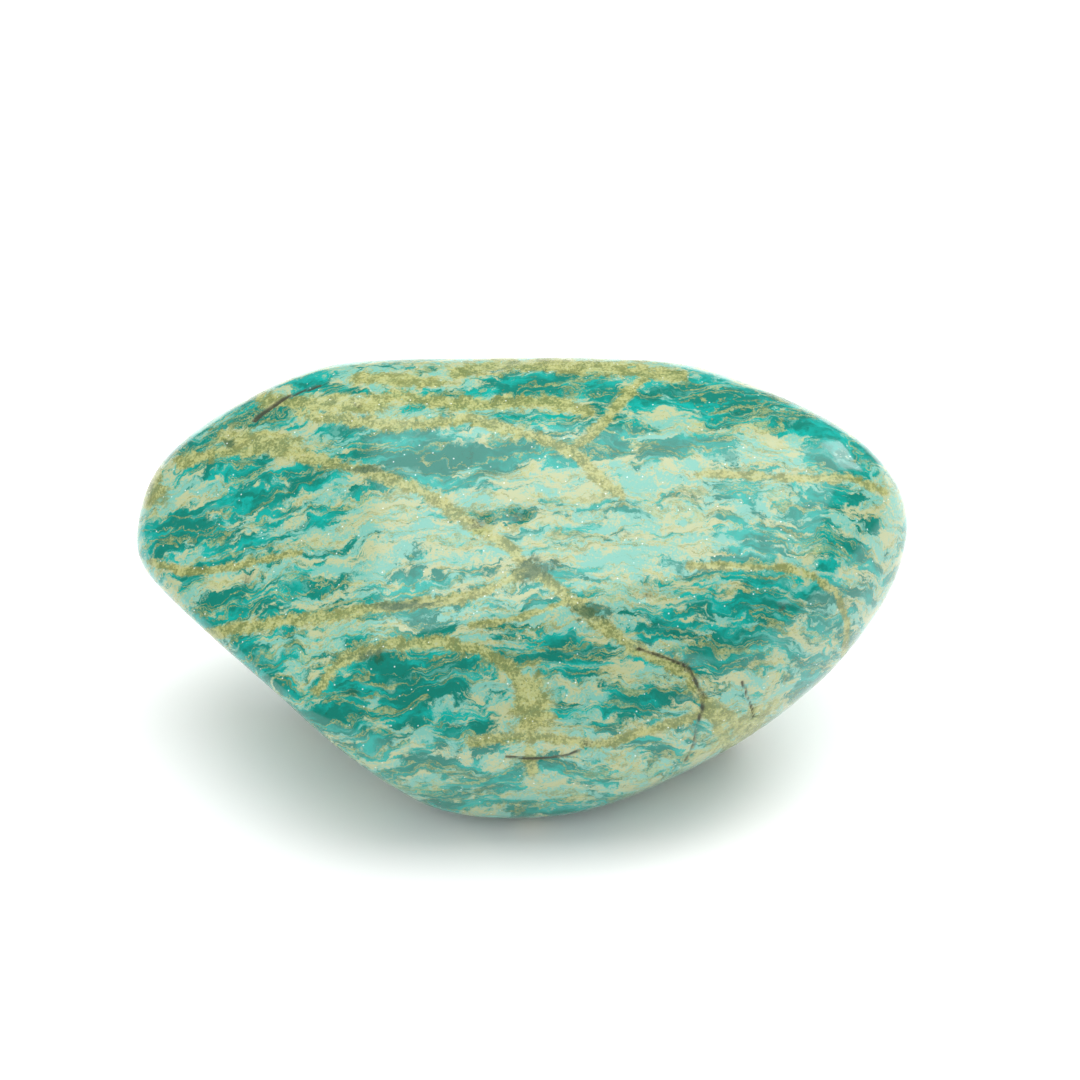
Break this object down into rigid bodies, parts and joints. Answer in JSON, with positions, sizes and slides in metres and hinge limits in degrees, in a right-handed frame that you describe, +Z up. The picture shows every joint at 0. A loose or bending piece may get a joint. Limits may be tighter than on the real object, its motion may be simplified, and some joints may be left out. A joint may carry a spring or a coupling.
{
  "type": "tumbled amazonite stone",
  "caption": "Tumbled amazonite pebble: a long polished stone worn by soft flats, with a narrow tip, a blunt end, small pits and cracks, resting on a small flat spot.",
  "frame": {"origin": "on the ground under the middle of the stone's bounding box", "axes": "+X along the stone's length toward its blunt end, -Y toward the broad worn face in front, +Z up"},
  "size_m": [0.0488, 0.027, 0.0229],
  "materials": {
    "amazonite": "tumbled and polished, mottled blue-green with olive and cream veins"
  },
  "bodies": {
    "root": {"stone": "amazonite"}
  },
  "joints": []
}
